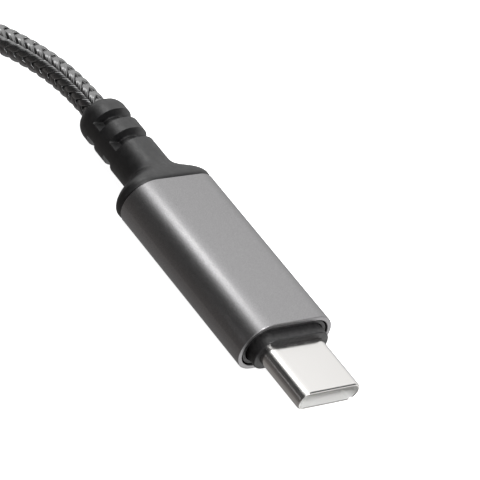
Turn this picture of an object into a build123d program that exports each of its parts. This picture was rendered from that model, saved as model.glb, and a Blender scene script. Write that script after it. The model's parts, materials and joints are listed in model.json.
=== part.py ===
from build123d import *
from math import copysign, cos, pi, radians, sin
import os

# A pod-shaped USB-C power meter with a short braided lead that ends in a USB-C plug.
# Units are millimetres. The origin is the centre of the pod's flat underside, +Z is up,
# +X runs along the pod to its socket end, and the display faces up. The plug lies on the
# same surface as the pod, at the end of its lead.

# Lead
cable_diameter = 3.05
meter_end_run = 5.5           # straight out of the pod's strain relief
plug_end_run = 3.4            # straight out of the plug's
arc_share = 0.45              # of the shorter run, taken by each bend's arc
wire_diameter = 0.7
wire_spread = 1.0            # across the lead, between wire centres
wire_rise = 1.5              # up the lead, between wire centres
wire_straight = 1.4          # from the jacket's end to the first bend, in the pod
wire_drop = 1.8              # length in which a wire comes down to its pad
wire_landing = 2.2
wire_bend = 0.9
outer_pad_y = 1.9            # pads of the upper wires
inner_pad_y = 0.7            # pads of the lower wires
crimp_wall = 0.4
crimp_length = 3.0
crimp_length_in_meter = 2.0

# Strain relief tails, the same on the plug and on the pod
neck_width = 5.4
neck_height = 5.2
neck_radius = 2.5
rib_length = 2.6             # the last ring
slot_length = 1.0
slot_pitch = 3.1
slot_count = 2
bridge_height = 1.7          # solid sides left by the saw-cut slots
core_wall = 0.175             # left round the lead at the bottom of a slot
tail_edge = 1.05

# Plug: depths are measured back from its mouth along its axis
plug_heading = 20.0          # degrees from +X
plug_mouth_x = -15.2
plug_mouth_y = 70.0
plug_width = 12.0
plug_height = 6.1
sleeve_wall = 0.5
sleeve_front = 7.84
sleeve_length = 21.85
sleeve_chamfer = 0.12
shell_width = 8.25
shell_height = 2.4
shell_wall = 0.28
shell_reach = 6.69           # shell that stands proud of the moulded nose
shell_length = 10.4
shell_lip = 0.2
nose_width = 10.0
nose_height = 4.1
nose_step = 8.35             # depth of the recessed face inside the sleeve's rim
insulator_front = 1.8
insulator_back = 10.6
cavity_width = 6.9           # cavity for the socket's tongue
cavity_height = 0.9
cavity_back = 6.2
contact_count = 12
contact_pitch = 0.5
contact_width = 0.25
contact_thickness = 0.15
contact_gap = 0.8            # between the upper and the lower row
contact_front = 2.3
contact_back = 12.2
latch_thickness = 0.15
latch_arm_width = 0.3
latch_front = 2.4
spring_width = 5.4
spring_length = 1.4
spring_thickness = 0.1
spring_front = 2.3
card_width = 8.0
card_length = 10.0
chip_size = 2.5
chip_height = 0.6
chip_depth = 15.6
small_part_height = 0.4
small_part_width = 0.9
small_part_length = 0.5
small_part_spacing = 4.8
small_part_depths = (13.2, 17.0)
shield_wall = 0.2
shield_width = 9.6
shield_height = 4.0
shield_front = 9.4
shield_length = 12.6
wire_front = 18.4
flange_length = 0.9
shoulder_length = 2.7
shoulder_middle = 1.45         # from the flange to the middle section of the shoulder
shoulder_radius = 2.6
flange_end_flat = 0.1          # flat left at each rounded side of the flange
relief_length = 13.7

# Pod
meter_length = 58.0
meter_width = 26.0
meter_height = 11.0
meter_radius = 4.0
meter_wall = 1.2
cap_thickness = 2.0
cap_edge = 0.5
spigot_length = 1.2
fit_clearance = 0.1          # loose fits between caps, sleeve, lens and button
screw_diameter = 1.6
screw_length = 6.0
screw_head_diameter = 2.8
screw_head_height = 0.9
screw_sink = 1.0
screw_slot_width = 0.4
screw_slot_length = 1.8
screw_slot_depth = 0.45
boss_diameter = 3.2
boss_inset = 1.3             # boss centre in from the side wall
board_thickness = 1.0
board_start = -22.0
board_side_gap = 0.6
ledge_width = 2.4
socket_width = 8.94
socket_height = 3.26
socket_wall = 0.3
socket_length = 7.35
socket_recess = 0.3
tongue_width = 6.69
tongue_thickness = 0.7
tongue_length = 4.45
tongue_recess = 0.9
pad_thickness = 0.06
pad_inset = 0.3              # bare tongue ahead of its contact pads
foot_thickness = 0.15
meter_relief_length = 12.2
relief_flange_width = 8.0
relief_flange_height = 6.6
relief_flange_length = 1.2

# Display
lens_x = -5.3
lens_length = 29.4
lens_width = 14.8
lens_radius = 1.5
lens_thickness = 0.7
tape_thickness = 0.1
window_border = 1.2
gasket_thickness = 0.2
panel_length = 30.5
panel_width = 15.4
panel_thickness = 1.5
carrier_thickness = 0.8
leg_size = 1.3
flex_width = 8.0
flex_thickness = 0.15
flex_bulge = 1.3
flex_landing = 2.4
flex_bend = 0.6

# Button and its switch
button_x = 17.0
button_diameter = 5.0
button_proud = 0.5
button_edge = 0.35
button_flange_diameter = 6.4
button_flange_height = 0.6
button_flange_gap = 0.05
button_travel = 0.3
stem_diameter = 2.0
switch_size = 3.6
switch_height = 2.0
switch_floor = 0.4
plunger_diameter = 1.7
plunger_height = 2.1
dome_diameter = 1.8
dome_thickness = 0.1
plunger_gap = 0.05             # between the pressed plunger and the dome

# Circuit pieces on the pod's board
controller_size = 5.0
controller_height = 0.85
controller_y = 3.4
shunt_length = 6.4
shunt_width = 3.2
shunt_height = 0.9
shunt_offset = -7.0            # along the pod from the middle of the display
shunt_y = -3.2
inductor_size = 3.0
inductor_height = 1.5
inductor_offset = 7.0
inductor_y = -3.4
resistor_length = 1.0
resistor_width = 0.5
resistor_y = -4.0
capacitor_length = 1.6
capacitor_width = 0.8
capacitor_offset = 6.0
capacitor_y = 4.0
chip_pitch_x = 2.0
chip_pitch_y = 2.2
chip_part_height = 0.5

# Worked out from the sizes above
lying_height = plug_height / 2
plug_direction = Vector(cos(radians(plug_heading)), sin(radians(plug_heading)), 0)
plug_across = Vector(sin(radians(plug_heading)), -cos(radians(plug_heading)), 0)
plug_mouth = Vector(plug_mouth_x, plug_mouth_y, lying_height)
plug_axis = Axis(plug_mouth, -plug_direction)
crimp_diameter = cable_diameter + 2 * crimp_wall
core_diameter = cable_diameter + 2 * core_wall
sleeve_back = sleeve_front + sleeve_length
sleeve_inner_width = plug_width - 2 * sleeve_wall
sleeve_inner_height = plug_height - 2 * sleeve_wall
card_front = insulator_back
card_thickness = contact_gap
shield_back = shield_front + shield_length
tail_front = shield_back - shield_wall
relief_back = sleeve_back + relief_length
shell_inner_width = shell_width - 2 * shell_wall
shell_inner_height = shell_height - 2 * shell_wall
contact_height = (contact_gap + contact_thickness) / 2
half_length = meter_length / 2
half_height = meter_height / 2
cap_inner_x = half_length - cap_thickness
spigot_x = cap_inner_x - spigot_length
hollow_width = meter_width - 2 * meter_wall
hollow_height = meter_height - 2 * meter_wall
hollow_radius = meter_radius - meter_wall
hollow_top = meter_height - meter_wall
boss_y = hollow_width / 2 - boss_inset
spigot_width = 2 * boss_y - boss_diameter - 2 * fit_clearance
spigot_height = hollow_height - 2 * fit_clearance
board_top = half_height - socket_height / 2
board_bottom = board_top - board_thickness
board_end = spigot_x - fit_clearance
meter_tail_front = board_start - fit_clearance
board_width = hollow_width - 2 * board_side_gap
socket_front = half_length - socket_recess
socket_back = socket_front - socket_length
tongue_base = socket_front - tongue_recess - tongue_length
pad_height = (tongue_thickness - pad_thickness) / 2
pad_length = tongue_base - socket_back + tongue_length - pad_inset
head_x = half_length - screw_sink
meter_relief_end = -half_length - meter_relief_length
pocket_floor = meter_height - lens_thickness - tape_thickness
window_length = lens_length - 2 * window_border
window_width = lens_width - 2 * window_border
panel_top = hollow_top - gasket_thickness
panel_bottom = panel_top - panel_thickness
panel_end = lens_x + panel_length / 2
carrier_bottom = panel_bottom - carrier_thickness
switch_top = board_top + switch_height
flange_top = hollow_top - button_flange_gap
flange_bottom = flange_top - button_flange_height
plunger_bottom = board_top + switch_floor + dome_thickness + button_travel + plunger_gap
plunger_top = plunger_bottom + plunger_height


def plug_section(depth):
    """Plane square to the plug's axis, facing back, at a depth behind the mouth."""
    return Plane(plug_mouth - plug_direction * depth, x_dir=plug_across, z_dir=-plug_direction)


def meter_section(x):
    """Plane square to the pod's length at x, facing +X, centred at half height."""
    return Plane((x, 0, half_height), x_dir=(0, 1, 0), z_dir=(1, 0, 0))


def wire_places():
    """Where the lead's four wires cross a section."""
    return GridLocations(wire_spread, wire_rise, 2, 2)


def tail_slots(section, end, step):
    """Cutter for the flexing slots of a strain relief, counted from its cable end."""
    with BuildPart() as slots:
        for number in range(slot_count):
            near_side = end + step * (rib_length + number * slot_pitch)
            with BuildSketch(section(near_side)):
                Rectangle(neck_width + 1, neck_height + 1)
                Rectangle(neck_width + 1, bridge_height, mode=Mode.SUBTRACT)
                Circle(core_diameter / 2, mode=Mode.SUBTRACT)
            extrude(amount=step * slot_length)
    return slots.part


# ---- Plug ----

with BuildPart() as plug_shell:
    with BuildSketch(plug_section(0)):
        SlotOverall(shell_width, shell_height)
    extrude(amount=shell_length)
    fillet(plug_shell.edges().group_by(plug_axis)[0], radius=shell_lip)
    with BuildSketch(plug_section(0)):
        SlotOverall(shell_inner_width, shell_inner_height)
    extrude(amount=shell_length, mode=Mode.SUBTRACT)

with BuildPart() as plug_contacts_upper:
    with BuildSketch(plug_section(contact_front)):
        with Locations((0, contact_height)):
            with GridLocations(contact_pitch, 1, contact_count, 1):
                Rectangle(contact_width, contact_thickness)
    extrude(amount=contact_back - contact_front)

with BuildPart() as plug_contacts_lower:
    with BuildSketch(plug_section(contact_front)):
        with Locations((0, -contact_height)):
            with GridLocations(contact_pitch, 1, contact_count, 1):
                Rectangle(contact_width, contact_thickness)
    extrude(amount=contact_back - contact_front)

with BuildPart() as plug_latch_plate:
    with BuildSketch(plug_section(latch_front)):
        with GridLocations(cavity_width - latch_arm_width, 1, 2, 1):
            Rectangle(latch_arm_width, latch_thickness)
    extrude(amount=cavity_back - latch_front)
    with BuildSketch(plug_section(cavity_back)):
        Rectangle(cavity_width, latch_thickness)
    extrude(amount=card_front - cavity_back)

with BuildPart() as plug_ground_springs:
    with BuildSketch(plug_section(spring_front)):
        with GridLocations(1, shell_inner_height - spring_thickness, 1, 2):
            Rectangle(spring_width, spring_thickness)
    extrude(amount=spring_length)

with BuildPart() as plug_insulator:
    with BuildSketch(plug_section(insulator_front)):
        SlotOverall(shell_inner_width, shell_inner_height)
    extrude(amount=insulator_back - insulator_front)
    with BuildSketch(plug_section(insulator_front)):
        Rectangle(cavity_width, cavity_height)
    extrude(amount=cavity_back - insulator_front, mode=Mode.SUBTRACT)
    add(plug_contacts_upper.part, mode=Mode.SUBTRACT)
    add(plug_contacts_lower.part, mode=Mode.SUBTRACT)
    add(plug_latch_plate.part, mode=Mode.SUBTRACT)
    add(plug_ground_springs.part, mode=Mode.SUBTRACT)

with BuildPart() as plug_card:
    with BuildSketch(plug_section(card_front)):
        Rectangle(card_width, card_thickness)
    extrude(amount=card_length)

with BuildPart() as plug_chip:
    with BuildSketch(plug_section(chip_depth - chip_size / 2)):
        with Locations((0, (card_thickness + chip_height) / 2)):
            Rectangle(chip_size, chip_height)
    extrude(amount=chip_size)

with BuildPart() as plug_small_parts:
    for depth in small_part_depths:
        with BuildSketch(plug_section(depth)):
            with Locations((0, (card_thickness + small_part_height) / 2)):
                with GridLocations(small_part_spacing, 1, 2, 1):
                    Rectangle(small_part_width, small_part_height)
        extrude(amount=small_part_length)

with BuildPart() as plug_cable_tail:
    with BuildSketch(plug_section(tail_front)):
        Circle(cable_diameter / 2)
    extrude(amount=relief_back - tail_front)

with BuildPart() as plug_wires:
    with BuildSketch(plug_section(wire_front)):
        with wire_places():
            Circle(wire_diameter / 2)
    extrude(amount=tail_front - wire_front)

with BuildPart() as plug_crimp:
    with BuildSketch(plug_section(shield_back)):
        Circle(crimp_diameter / 2)
        Circle(cable_diameter / 2, mode=Mode.SUBTRACT)
    extrude(amount=crimp_length)

with BuildPart() as plug_shield:
    with BuildSketch(plug_section(shield_front)):
        SlotOverall(shield_width, shield_height)
    extrude(amount=shield_length)
    with BuildSketch(plug_section(shield_front + shield_wall)):
        SlotOverall(shield_width - 2 * shield_wall, shield_height - 2 * shield_wall)
    extrude(amount=shield_length - 2 * shield_wall, mode=Mode.SUBTRACT)
    with BuildSketch(plug_section(shield_front)):
        SlotOverall(shell_width, shell_height)
    extrude(amount=shield_wall, mode=Mode.SUBTRACT)
    with BuildSketch(plug_section(shield_back - shield_wall)):
        Circle(cable_diameter / 2)
    extrude(amount=shield_wall, mode=Mode.SUBTRACT)

with BuildPart() as plug_shield_upper:
    add(plug_shield.part)
    split(bisect_by=Plane.XY.offset(lying_height), keep=Keep.TOP)

with BuildPart() as plug_shield_lower:
    add(plug_shield.part)
    split(bisect_by=Plane.XY.offset(lying_height), keep=Keep.BOTTOM)

with BuildPart() as plug_inner_mould:
    with BuildSketch(plug_section(shell_reach)):
        SlotOverall(nose_width, nose_height)
    extrude(amount=nose_step - shell_reach)
    with BuildSketch(plug_section(nose_step)):
        SlotOverall(sleeve_inner_width, sleeve_inner_height)
    extrude(amount=sleeve_back - nose_step)
    with BuildSketch(plug_section(shell_reach)):
        SlotOverall(shell_width, shell_height)
    extrude(amount=shield_front - shell_reach, mode=Mode.SUBTRACT)
    with BuildSketch(plug_section(shield_front)):
        SlotOverall(shield_width, shield_height)
    extrude(amount=shield_length, mode=Mode.SUBTRACT)
    with BuildSketch(plug_section(shield_back)):
        Circle(crimp_diameter / 2)
    extrude(amount=crimp_length, mode=Mode.SUBTRACT)
    with BuildSketch(plug_section(shield_back + crimp_length)):
        Circle(cable_diameter / 2)
    extrude(until=Until.LAST, mode=Mode.SUBTRACT)

with BuildPart() as plug_sleeve:
    with BuildSketch(plug_section(sleeve_front)):
        SlotOverall(plug_width, plug_height)
        SlotOverall(sleeve_inner_width, sleeve_inner_height, mode=Mode.SUBTRACT)
    extrude(amount=sleeve_length)
    chamfer(plug_sleeve.edges().group_by(plug_axis)[0], length=sleeve_chamfer)

plug_tail_slots = tail_slots(plug_section, relief_back, -1)

with BuildPart() as plug_strain_relief:
    with BuildSketch(plug_section(sleeve_back)):
        RectangleRounded(plug_width, plug_height, (plug_height - flange_end_flat) / 2)
    extrude(amount=flange_length)
    with BuildSketch(plug_section(sleeve_back + flange_length)):
        RectangleRounded(plug_width, plug_height, (plug_height - flange_end_flat) / 2)
    with BuildSketch(plug_section(sleeve_back + flange_length + shoulder_middle)):
        RectangleRounded(
            (plug_width + neck_width) / 2, (plug_height + neck_height) / 2, shoulder_radius
        )
    with BuildSketch(plug_section(sleeve_back + flange_length + shoulder_length)):
        RectangleRounded(neck_width, neck_height, neck_radius)
    loft()
    with BuildSketch(plug_section(sleeve_back + flange_length + shoulder_length)):
        RectangleRounded(neck_width, neck_height, neck_radius)
    extrude(amount=relief_length - flange_length - shoulder_length)
    fillet(plug_strain_relief.edges().group_by(plug_axis)[-1], radius=tail_edge)
    add(plug_tail_slots, mode=Mode.SUBTRACT)
    with BuildSketch(plug_section(sleeve_back)):
        Circle(cable_diameter / 2)
    extrude(amount=relief_length, mode=Mode.SUBTRACT)

# ---- Lead ----
# The route runs from the pod's strain relief to the plug's, down to the surface between.
meter_exit = Vector(meter_relief_end, 0, half_height)
plug_exit = plug_mouth - plug_direction * relief_back
cable_route = [
    meter_exit,
    meter_exit - Vector(meter_end_run, 0, 0),
    Vector(-54.6, 2.0, 4.0),
    Vector(-62.8, 6.8, 2.2),
    Vector(-69.4, 15.0, 1.6),
    Vector(-73.1, 25.6, 1.55),
    Vector(-72.7, 36.7, 1.55),
    Vector(-68.7, 46.0, 1.9),
    Vector(-64.2, 51.0, 2.65),
    plug_exit - plug_direction * plug_end_run,
    plug_exit,
]
cable_runs = [after - before for before, after in zip(cable_route, cable_route[1:])]
cable_radii = []
for run, next_run in zip(cable_runs, cable_runs[1:]):
    half_turn = radians(run.get_angle(next_run) / 2)
    shorter_run = min(run.length, next_run.length)
    cable_radii.append(arc_share * shorter_run * cos(half_turn) / sin(half_turn))
print("lead radii:", [round(radius, 1) for radius in cable_radii])

with BuildPart() as cable:
    with BuildLine() as cable_path:
        FilletPolyline(*cable_route, radius=cable_radii)
    with BuildSketch(Plane(meter_exit, z_dir=(-1, 0, 0))):
        Circle(cable_diameter / 2)
    sweep(path=cable_path.wires()[0])
tube_volume = cable_path.wires()[0].length * pi * cable_diameter**2 / 4
print("lead length", round(cable_path.wires()[0].length, 2))
print("lead volume", round(cable.part.volume, 1), "of", round(tube_volume, 1))

# ---- Pod casing ----

with BuildPart() as meter_sleeve:
    with BuildSketch(meter_section(-cap_inner_x)):
        RectangleRounded(meter_width, meter_height, meter_radius)
        RectangleRounded(hollow_width, hollow_height, hollow_radius, mode=Mode.SUBTRACT)
        with GridLocations(2 * boss_y, 1, 2, 1):
            Circle(boss_diameter / 2)
        with GridLocations(hollow_width - boss_inset, 1, 2, 1):
            Rectangle(boss_inset, boss_diameter / 2)
        with Locations((0, (board_bottom + meter_wall) / 2 - half_height)):
            with GridLocations(hollow_width - ledge_width, 1, 2, 1):
                Rectangle(ledge_width, board_bottom - meter_wall)
        with GridLocations(2 * boss_y, 1, 2, 1):
            Circle(screw_diameter / 2, mode=Mode.SUBTRACT)
    extrude(amount=2 * cap_inner_x)
    with BuildSketch(Plane.XY.offset(pocket_floor)):
        with Locations((lens_x, 0)):
            RectangleRounded(lens_length + fit_clearance, lens_width + fit_clearance, lens_radius)
    extrude(amount=meter_height - pocket_floor, mode=Mode.SUBTRACT)
    with BuildSketch(Plane.XY.offset(hollow_top)):
        with Locations((lens_x, 0)):
            Rectangle(window_length, window_width)
    extrude(amount=meter_wall, mode=Mode.SUBTRACT)
    with BuildSketch(Plane.XY.offset(hollow_top)):
        with Locations((button_x, 0)):
            Circle(button_diameter / 2 + fit_clearance)
    extrude(amount=meter_wall, mode=Mode.SUBTRACT)

with BuildPart() as socket_end_cap:
    with BuildSketch(meter_section(cap_inner_x)):
        RectangleRounded(meter_width, meter_height, meter_radius)
    extrude(amount=cap_thickness)
    fillet(socket_end_cap.edges().group_by(Axis.X)[-1], radius=cap_edge)
    with BuildSketch(meter_section(cap_inner_x)):
        Rectangle(spigot_width, spigot_height)
    extrude(amount=-spigot_length)
    with BuildSketch(meter_section(spigot_x)):
        SlotOverall(socket_width + 2 * fit_clearance, socket_height + 2 * fit_clearance)
    extrude(amount=cap_thickness + spigot_length, mode=Mode.SUBTRACT)
    with BuildSketch(meter_section(spigot_x)):
        with Locations((0, board_bottom - half_height + board_thickness / 2)):
            Rectangle(socket_width, board_thickness + 4 * fit_clearance)
    extrude(amount=spigot_length, mode=Mode.SUBTRACT)
    with BuildSketch(meter_section(cap_inner_x)):
        with GridLocations(2 * boss_y, 1, 2, 1):
            Circle(screw_diameter / 2 + fit_clearance)
    extrude(amount=cap_thickness, mode=Mode.SUBTRACT)
    with BuildSketch(meter_section(head_x)):
        with GridLocations(2 * boss_y, 1, 2, 1):
            Circle(screw_head_diameter / 2 + fit_clearance)
    extrude(amount=screw_sink, mode=Mode.SUBTRACT)

with BuildPart() as cable_end_cap:
    with BuildSketch(meter_section(-cap_inner_x)):
        RectangleRounded(meter_width, meter_height, meter_radius)
    extrude(amount=-cap_thickness)
    fillet(cable_end_cap.edges().group_by(Axis.X)[0], radius=cap_edge)
    with BuildSketch(meter_section(-cap_inner_x)):
        Rectangle(spigot_width, spigot_height)
    extrude(amount=spigot_length)
    with BuildSketch(meter_section(-half_length)):
        RectangleRounded(neck_width, neck_height, neck_radius)
    extrude(amount=cap_thickness + spigot_length, mode=Mode.SUBTRACT)
    with BuildSketch(meter_section(-half_length)):
        with GridLocations(2 * boss_y, 1, 2, 1):
            Circle(screw_diameter / 2 + fit_clearance)
    extrude(amount=cap_thickness, mode=Mode.SUBTRACT)
    with BuildSketch(meter_section(-half_length)):
        with GridLocations(2 * boss_y, 1, 2, 1):
            Circle(screw_head_diameter / 2 + fit_clearance)
    extrude(amount=screw_sink, mode=Mode.SUBTRACT)

with BuildPart() as case_screws:
    for side in (-1, 1):
        with BuildSketch(meter_section(side * head_x)):
            with GridLocations(2 * boss_y, 1, 2, 1):
                Circle(screw_head_diameter / 2)
        extrude(amount=side * screw_head_height)
        with BuildSketch(meter_section(side * head_x)):
            with GridLocations(2 * boss_y, 1, 2, 1):
                Circle(screw_diameter / 2)
        extrude(amount=-side * screw_length)
        with BuildSketch(meter_section(side * (head_x + screw_head_height))):
            with GridLocations(2 * boss_y, 1, 2, 1):
                Rectangle(screw_slot_length, screw_slot_width)
                Rectangle(screw_slot_width, screw_slot_length)
        extrude(amount=-side * screw_slot_depth, mode=Mode.SUBTRACT)

# ---- Pod display ----

with BuildPart() as display_lens:
    with BuildSketch(Plane.XY.offset(pocket_floor + tape_thickness)):
        with Locations((lens_x, 0)):
            RectangleRounded(lens_length, lens_width, lens_radius)
    extrude(amount=lens_thickness)

with BuildPart() as lens_tape:
    with BuildSketch(Plane.XY.offset(pocket_floor)):
        with Locations((lens_x, 0)):
            RectangleRounded(lens_length, lens_width, lens_radius)
            Rectangle(window_length, window_width, mode=Mode.SUBTRACT)
    extrude(amount=tape_thickness)

with BuildPart() as display_gasket:
    with BuildSketch(Plane.XY.offset(panel_top)):
        with Locations((lens_x, 0)):
            Rectangle(panel_length, panel_width)
            Rectangle(window_length, window_width, mode=Mode.SUBTRACT)
    extrude(amount=gasket_thickness)

with BuildPart() as display_panel:
    with BuildSketch(Plane.XY.offset(panel_bottom)):
        with Locations((lens_x, 0)):
            Rectangle(panel_length, panel_width)
    extrude(amount=panel_thickness)

with BuildPart() as display_carrier:
    with BuildSketch(Plane.XY.offset(carrier_bottom)):
        with Locations((lens_x, 0)):
            Rectangle(panel_length, panel_width)
    extrude(amount=carrier_thickness)
    with BuildSketch(Plane.XY.offset(board_top)):
        with Locations((lens_x, 0)):
            with GridLocations(panel_length - leg_size, panel_width - leg_size, 2, 2):
                Rectangle(leg_size, leg_size)
    extrude(amount=carrier_bottom - board_top)

with BuildPart() as display_flex:
    with BuildSketch(Plane.XZ.offset(-flex_width / 2)):
        with BuildLine():
            FilletPolyline(
                (panel_end + flex_thickness / 2, panel_bottom + panel_thickness / 2),
                (panel_end + flex_bulge, panel_bottom + panel_thickness / 2),
                (panel_end + flex_bulge, board_top + flex_thickness / 2),
                (panel_end - flex_landing, board_top + flex_thickness / 2),
                radius=flex_bend,
            )
            offset(amount=flex_thickness / 2, side=Side.BOTH, kind=Kind.ARC)
        make_face()
    extrude(amount=flex_width)

# ---- Pod electronics ----

with BuildPart() as main_board:
    with BuildSketch(Plane.XY.offset(board_bottom)):
        with Locations(((board_start + board_end) / 2, 0)):
            Rectangle(board_end - board_start, board_width)
    extrude(amount=board_thickness)

with BuildPart() as controller_chip:
    with BuildSketch(Plane.XY.offset(board_top)):
        with Locations((lens_x, controller_y)):
            Rectangle(controller_size, controller_size)
    extrude(amount=controller_height)

with BuildPart() as current_shunt:
    with BuildSketch(Plane.XY.offset(board_top)):
        with Locations((lens_x + shunt_offset, shunt_y)):
            Rectangle(shunt_length, shunt_width)
    extrude(amount=shunt_height)

with BuildPart() as supply_inductor:
    with BuildSketch(Plane.XY.offset(board_top)):
        with Locations((lens_x + inductor_offset, inductor_y)):
            Rectangle(inductor_size, inductor_size)
    extrude(amount=inductor_height)

with BuildPart() as board_small_parts:
    with BuildSketch(Plane.XY.offset(board_top)):
        with Locations((lens_x, resistor_y)):
            with GridLocations(chip_pitch_x, chip_pitch_y, 4, 2):
                Rectangle(resistor_length, resistor_width)
        with Locations((lens_x + capacitor_offset, capacitor_y)):
            with GridLocations(chip_pitch_x, chip_pitch_y, 2, 2):
                Rectangle(capacitor_length, capacitor_width)
    extrude(amount=chip_part_height)

with BuildPart() as socket_shell:
    with BuildSketch(meter_section(socket_back)):
        SlotOverall(socket_width, socket_height)
    extrude(amount=socket_length)
    with BuildSketch(meter_section(socket_back + socket_wall)):
        SlotOverall(socket_width - 2 * socket_wall, socket_height - 2 * socket_wall)
    extrude(amount=socket_length, mode=Mode.SUBTRACT)
    with BuildSketch(meter_section(socket_back)):
        Rectangle(cavity_width, tongue_thickness)
        with Locations((0, -socket_height / 4)):
            Rectangle(cavity_width, socket_height / 2)
    extrude(amount=socket_wall, mode=Mode.SUBTRACT)

with BuildPart() as socket_contacts_upper:
    with BuildSketch(meter_section(socket_back)):
        with Locations((0, pad_height)):
            with GridLocations(contact_pitch, 1, contact_count, 1):
                Rectangle(contact_width, pad_thickness)
    extrude(amount=pad_length)
    with BuildSketch(meter_section(socket_back)):
        with Locations((0, (tongue_thickness - socket_height) / 4)):
            with GridLocations(contact_pitch, 1, contact_count, 1):
                Rectangle(contact_width, (socket_height + tongue_thickness) / 2)
    extrude(amount=-foot_thickness)

with BuildPart() as socket_contacts_lower:
    with BuildSketch(meter_section(socket_back + foot_thickness)):
        with Locations((0, -pad_height)):
            with GridLocations(contact_pitch, 1, contact_count, 1):
                Rectangle(contact_width, pad_thickness)
    extrude(amount=pad_length - foot_thickness)
    with BuildSketch(meter_section(socket_back + foot_thickness)):
        with Locations((0, -(tongue_thickness + socket_height) / 4)):
            with GridLocations(contact_pitch, 1, contact_count, 1):
                Rectangle(contact_width, (socket_height - tongue_thickness) / 2)
    extrude(amount=foot_thickness)

with BuildPart() as socket_tongue:
    with BuildSketch(meter_section(socket_back + socket_wall)):
        SlotOverall(socket_width - 2 * socket_wall, socket_height - 2 * socket_wall)
    extrude(amount=tongue_base - socket_back - socket_wall)
    with BuildSketch(meter_section(tongue_base)):
        Rectangle(tongue_width, tongue_thickness)
    extrude(amount=tongue_length)
    add(socket_contacts_upper.part, mode=Mode.SUBTRACT)
    add(socket_contacts_lower.part, mode=Mode.SUBTRACT)

# ---- Pod lead entry ----

with BuildPart() as meter_cable_tail:
    with BuildSketch(meter_section(meter_relief_end)):
        Circle(cable_diameter / 2)
    extrude(amount=meter_tail_front - meter_relief_end)

meter_tail_slots = tail_slots(meter_section, meter_relief_end, 1)

with BuildPart() as meter_strain_relief:
    with BuildSketch(meter_section(meter_relief_end)):
        RectangleRounded(neck_width, neck_height, neck_radius)
    extrude(amount=meter_relief_length + cap_thickness + spigot_length)
    fillet(meter_strain_relief.edges().group_by(Axis.X)[0], radius=tail_edge)
    with BuildSketch(meter_section(-spigot_x)):
        RectangleRounded(relief_flange_width, relief_flange_height, neck_radius)
    extrude(amount=relief_flange_length)
    add(meter_tail_slots, mode=Mode.SUBTRACT)
    with BuildSketch(meter_section(meter_relief_end)):
        Circle(cable_diameter / 2)
    extrude(until=Until.LAST, mode=Mode.SUBTRACT)

with BuildPart() as meter_crimp:
    with BuildSketch(meter_section(-spigot_x + relief_flange_length)):
        Circle(crimp_diameter / 2)
        Circle(cable_diameter / 2, mode=Mode.SUBTRACT)
    extrude(amount=crimp_length_in_meter)

with BuildPart() as meter_wires:
    for place in wire_places():
        across = place.position.X
        up = half_height + place.position.Y
        pad_y = copysign(outer_pad_y if place.position.Y > 0 else inner_pad_y, across)
        pad_z = board_top + wire_diameter / 2
        bend_x = meter_tail_front + wire_straight
        with BuildLine() as wire_path:
            FilletPolyline(
                (meter_tail_front, across, up),
                (bend_x, across, up),
                (bend_x + wire_drop, pad_y, pad_z),
                (bend_x + wire_drop + wire_landing, pad_y, pad_z),
                radius=wire_bend,
            )
        with BuildSketch(Plane((meter_tail_front, across, up), z_dir=(1, 0, 0))):
            Circle(wire_diameter / 2)
        sweep(path=wire_path.wires()[0])

# ---- Button ----

with BuildPart() as mode_button:
    with BuildSketch(Plane.XY.offset(flange_top)):
        with Locations((button_x, 0)):
            Circle(button_diameter / 2)
    extrude(amount=meter_height + button_proud - flange_top)
    fillet(mode_button.edges().group_by(Axis.Z)[-1], radius=button_edge)
    with BuildSketch(Plane.XY.offset(flange_bottom)):
        with Locations((button_x, 0)):
            Circle(button_flange_diameter / 2)
    extrude(amount=button_flange_height)
    with BuildSketch(Plane.XY.offset(plunger_top)):
        with Locations((button_x, 0)):
            Circle(stem_diameter / 2)
    extrude(amount=flange_bottom - plunger_top)

with BuildPart() as switch_plunger:
    with BuildSketch(Plane.XY.offset(plunger_bottom)):
        with Locations((button_x, 0)):
            Circle(plunger_diameter / 2)
    extrude(amount=plunger_height)

with BuildPart() as switch_body:
    with BuildSketch(Plane.XY.offset(board_top)):
        with Locations((button_x, 0)):
            Rectangle(switch_size, switch_size)
    extrude(amount=switch_height)
    with BuildSketch(Plane.XY.offset(board_top + switch_floor)):
        with Locations((button_x, 0)):
            Circle(plunger_diameter / 2 + fit_clearance)
    extrude(amount=switch_height, mode=Mode.SUBTRACT)

with BuildPart() as switch_dome:
    with BuildSketch(Plane.XY.offset(board_top + switch_floor)):
        with Locations((button_x, 0)):
            Circle(dome_diameter / 2)
    extrude(amount=dome_thickness)

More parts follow.
